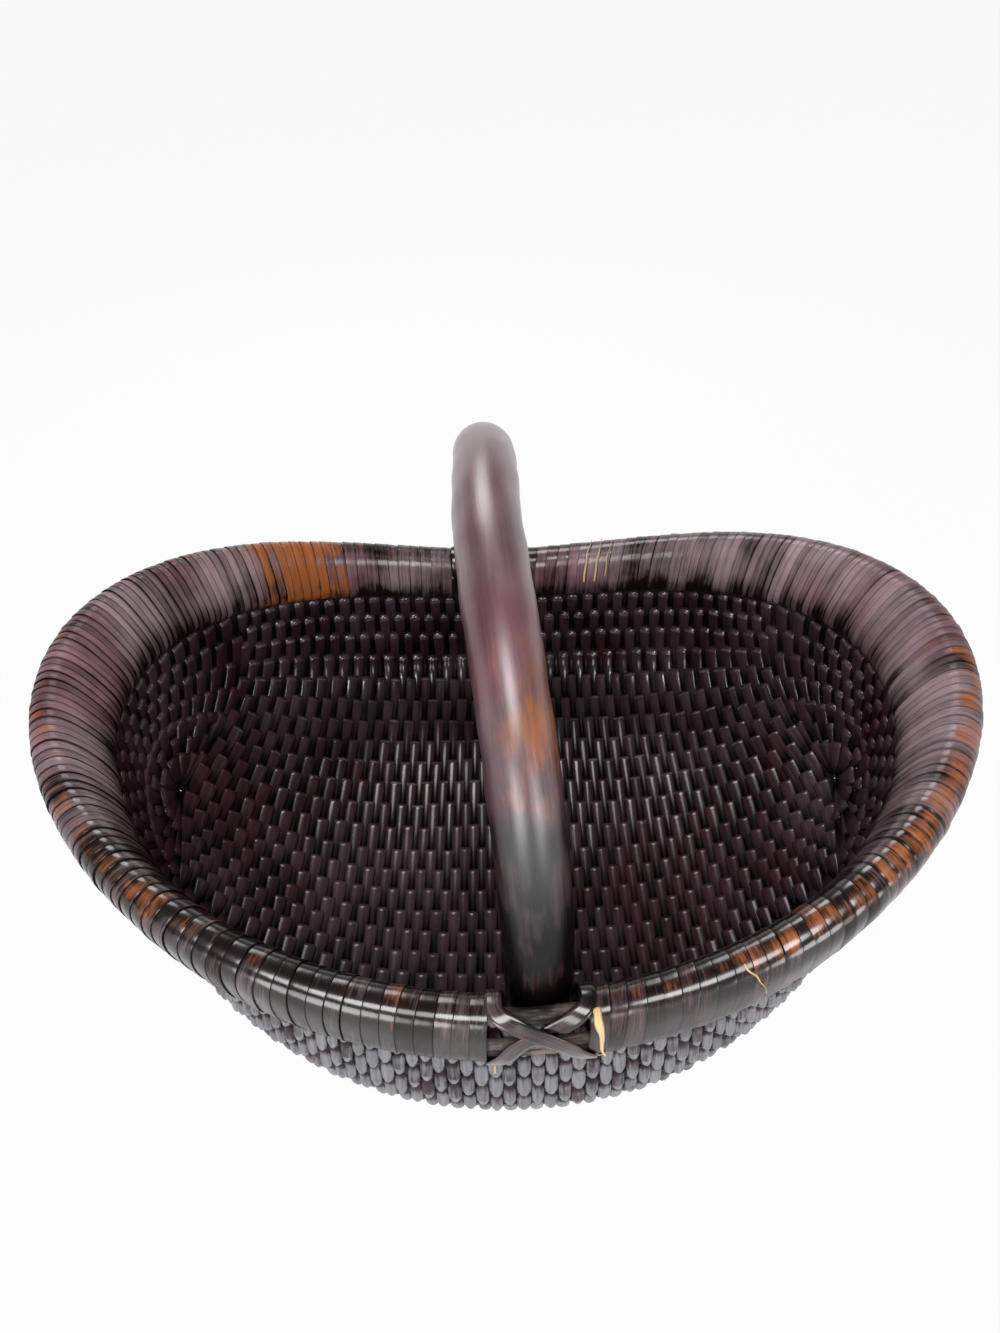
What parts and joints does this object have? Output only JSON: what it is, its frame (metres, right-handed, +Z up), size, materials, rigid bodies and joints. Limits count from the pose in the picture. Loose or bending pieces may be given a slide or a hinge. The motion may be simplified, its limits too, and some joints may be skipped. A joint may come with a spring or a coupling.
{
  "type": "willow handle basket",
  "caption": "Boat-shaped woven willow basket with raised ends, a strip-bound rim and a fixed bent pole handle across its waist, for gathering and carrying.",
  "frame": {"origin": "on the ground under the middle of the basket", "axes": "+X along the basket to its right end, +Y to the back, +Z up"},
  "size_m": [0.5378, 0.4105, 0.3206],
  "materials": {
    "weave": "dark stained willow rods, satin",
    "split_strip": "dark stained split strip, worn gloss",
    "bare_rod": "grey aged rod, matte",
    "handle_wood": "dark pole polished by hands"
  },
  "bodies": {
    "root": {"woven_middle_far_left": "weave", "woven_middle_left": "weave", "woven_middle_right": "weave", "woven_middle_far_right": "weave", "woven_left_end": "weave", "woven_right_end": "weave", "binding_left_01": "split_strip", "binding_left_02": "split_strip", "binding_left_03": "split_strip", "binding_left_04": "split_strip", "binding_left_05": "split_strip", "binding_left_06": "split_strip", "binding_left_07": "split_strip", "binding_left_08": "split_strip", "binding_left_09": "split_strip", "binding_left_10": "split_strip", "binding_right_01": "split_strip", "binding_right_02": "split_strip", "binding_right_03": "split_strip", "binding_right_04": "split_strip", "binding_right_05": "split_strip", "binding_right_06": "split_strip", "binding_right_07": "split_strip", "binding_right_08": "split_strip", "binding_right_09": "split_strip", "binding_right_10": "split_strip", "lashing_front_under": "split_strip", "lashing_front_over": "split_strip", "lashing_back_under": "split_strip", "lashing_back_over": "split_strip", "hoop_rod_top": "bare_rod", "hoop_rod_middle": "bare_rod", "hoop_rod_low": "bare_rod", "rim_pad_left": "bare_rod", "rim_pad_right": "bare_rod", "handle_pole": "handle_wood"}
  },
  "joints": []
}
